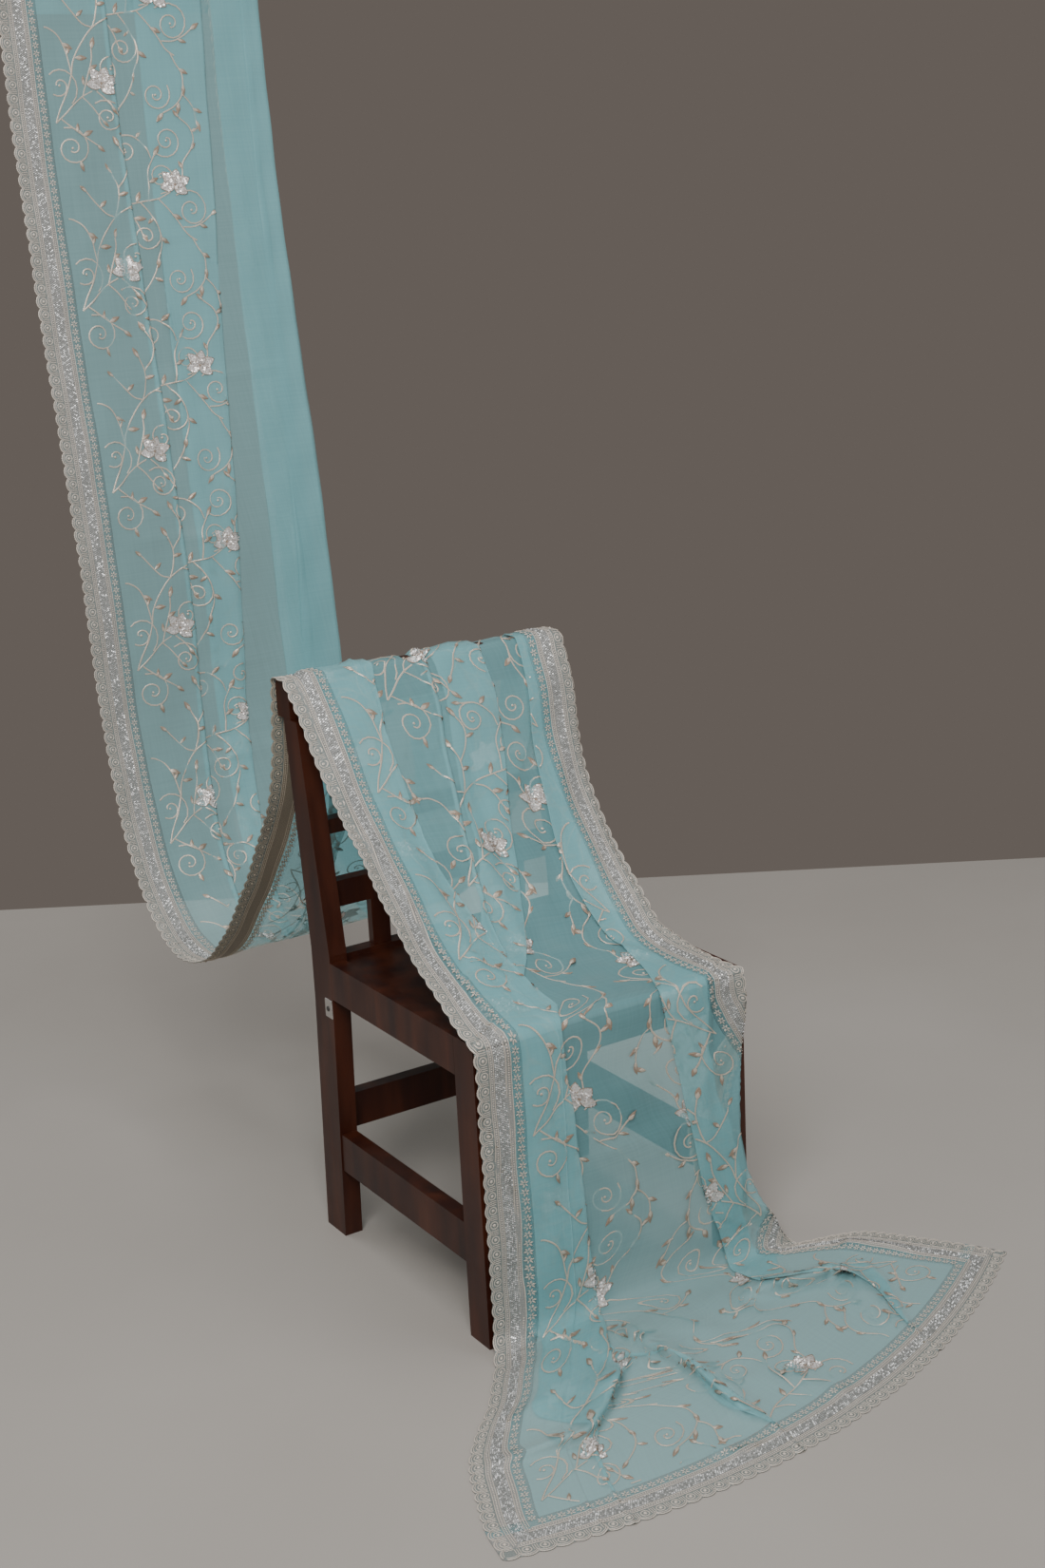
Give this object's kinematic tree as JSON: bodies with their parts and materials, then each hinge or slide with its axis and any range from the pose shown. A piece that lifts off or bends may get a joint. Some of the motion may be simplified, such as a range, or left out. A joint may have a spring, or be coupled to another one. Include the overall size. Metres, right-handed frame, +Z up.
{
  "type": "draped organza saree on a wooden side chair with a hanging rod",
  "caption": "Sheer organza saree with lace borders, spread on the floor, laid over a plain wooden side chair, looped behind it and hung from a round rod.",
  "frame": {"origin": "middle of the footprint of the whole drape, on the floor under the chair's feet", "axes": "the chair faces -Y, +Z is up, and +X is to the right seen from the front"},
  "size_m": [0.985, 1.833, 2.0186],
  "materials": {
    "organza": "sheer crisp organza, sea-green, with thread and sequin embroidery",
    "lace": "scalloped lace with cord edge, beads and sequins",
    "chair_wood": "satin dark red-brown wood",
    "rod_wood": "plain light wood, satin"
  },
  "bodies": {
    "root": {"chair_leg_front_left": "chair_wood", "chair_leg_front_right": "chair_wood", "chair_post_left": "chair_wood", "chair_post_right": "chair_wood", "chair_stretcher_left": "chair_wood", "chair_stretcher_right": "chair_wood", "chair_stretcher_rear": "chair_wood", "chair_seat_rail_left": "chair_wood", "chair_seat_rail_right": "chair_wood", "chair_seat_rail_front": "chair_wood", "chair_seat_rail_rear": "chair_wood", "chair_seat_board": "chair_wood", "chair_splat_left": "chair_wood", "chair_splat_right": "chair_wood", "chair_back_rail_lower": "chair_wood", "chair_back_rail_upper": "chair_wood", "chair_top_rail": "chair_wood", "hanging_rod": "rod_wood", "hem_border": "lace", "train": "organza", "train_border_left": "lace", "train_border_right": "lace", "front_fall": "organza", "front_fall_border_left": "lace", "front_fall_border_right": "lace", "seat_swag": "organza", "seat_swag_border_left": "lace", "seat_swag_border_right": "lace", "rear_drop": "organza", "rear_drop_border_left": "lace", "rear_drop_border_right": "lace", "hanging_panel": "organza", "hanging_panel_border_left": "lace", "hanging_panel_border_right": "lace", "rod_end": "organza", "rod_end_border_left": "lace", "rod_end_border_right": "lace"}
  },
  "joints": []
}
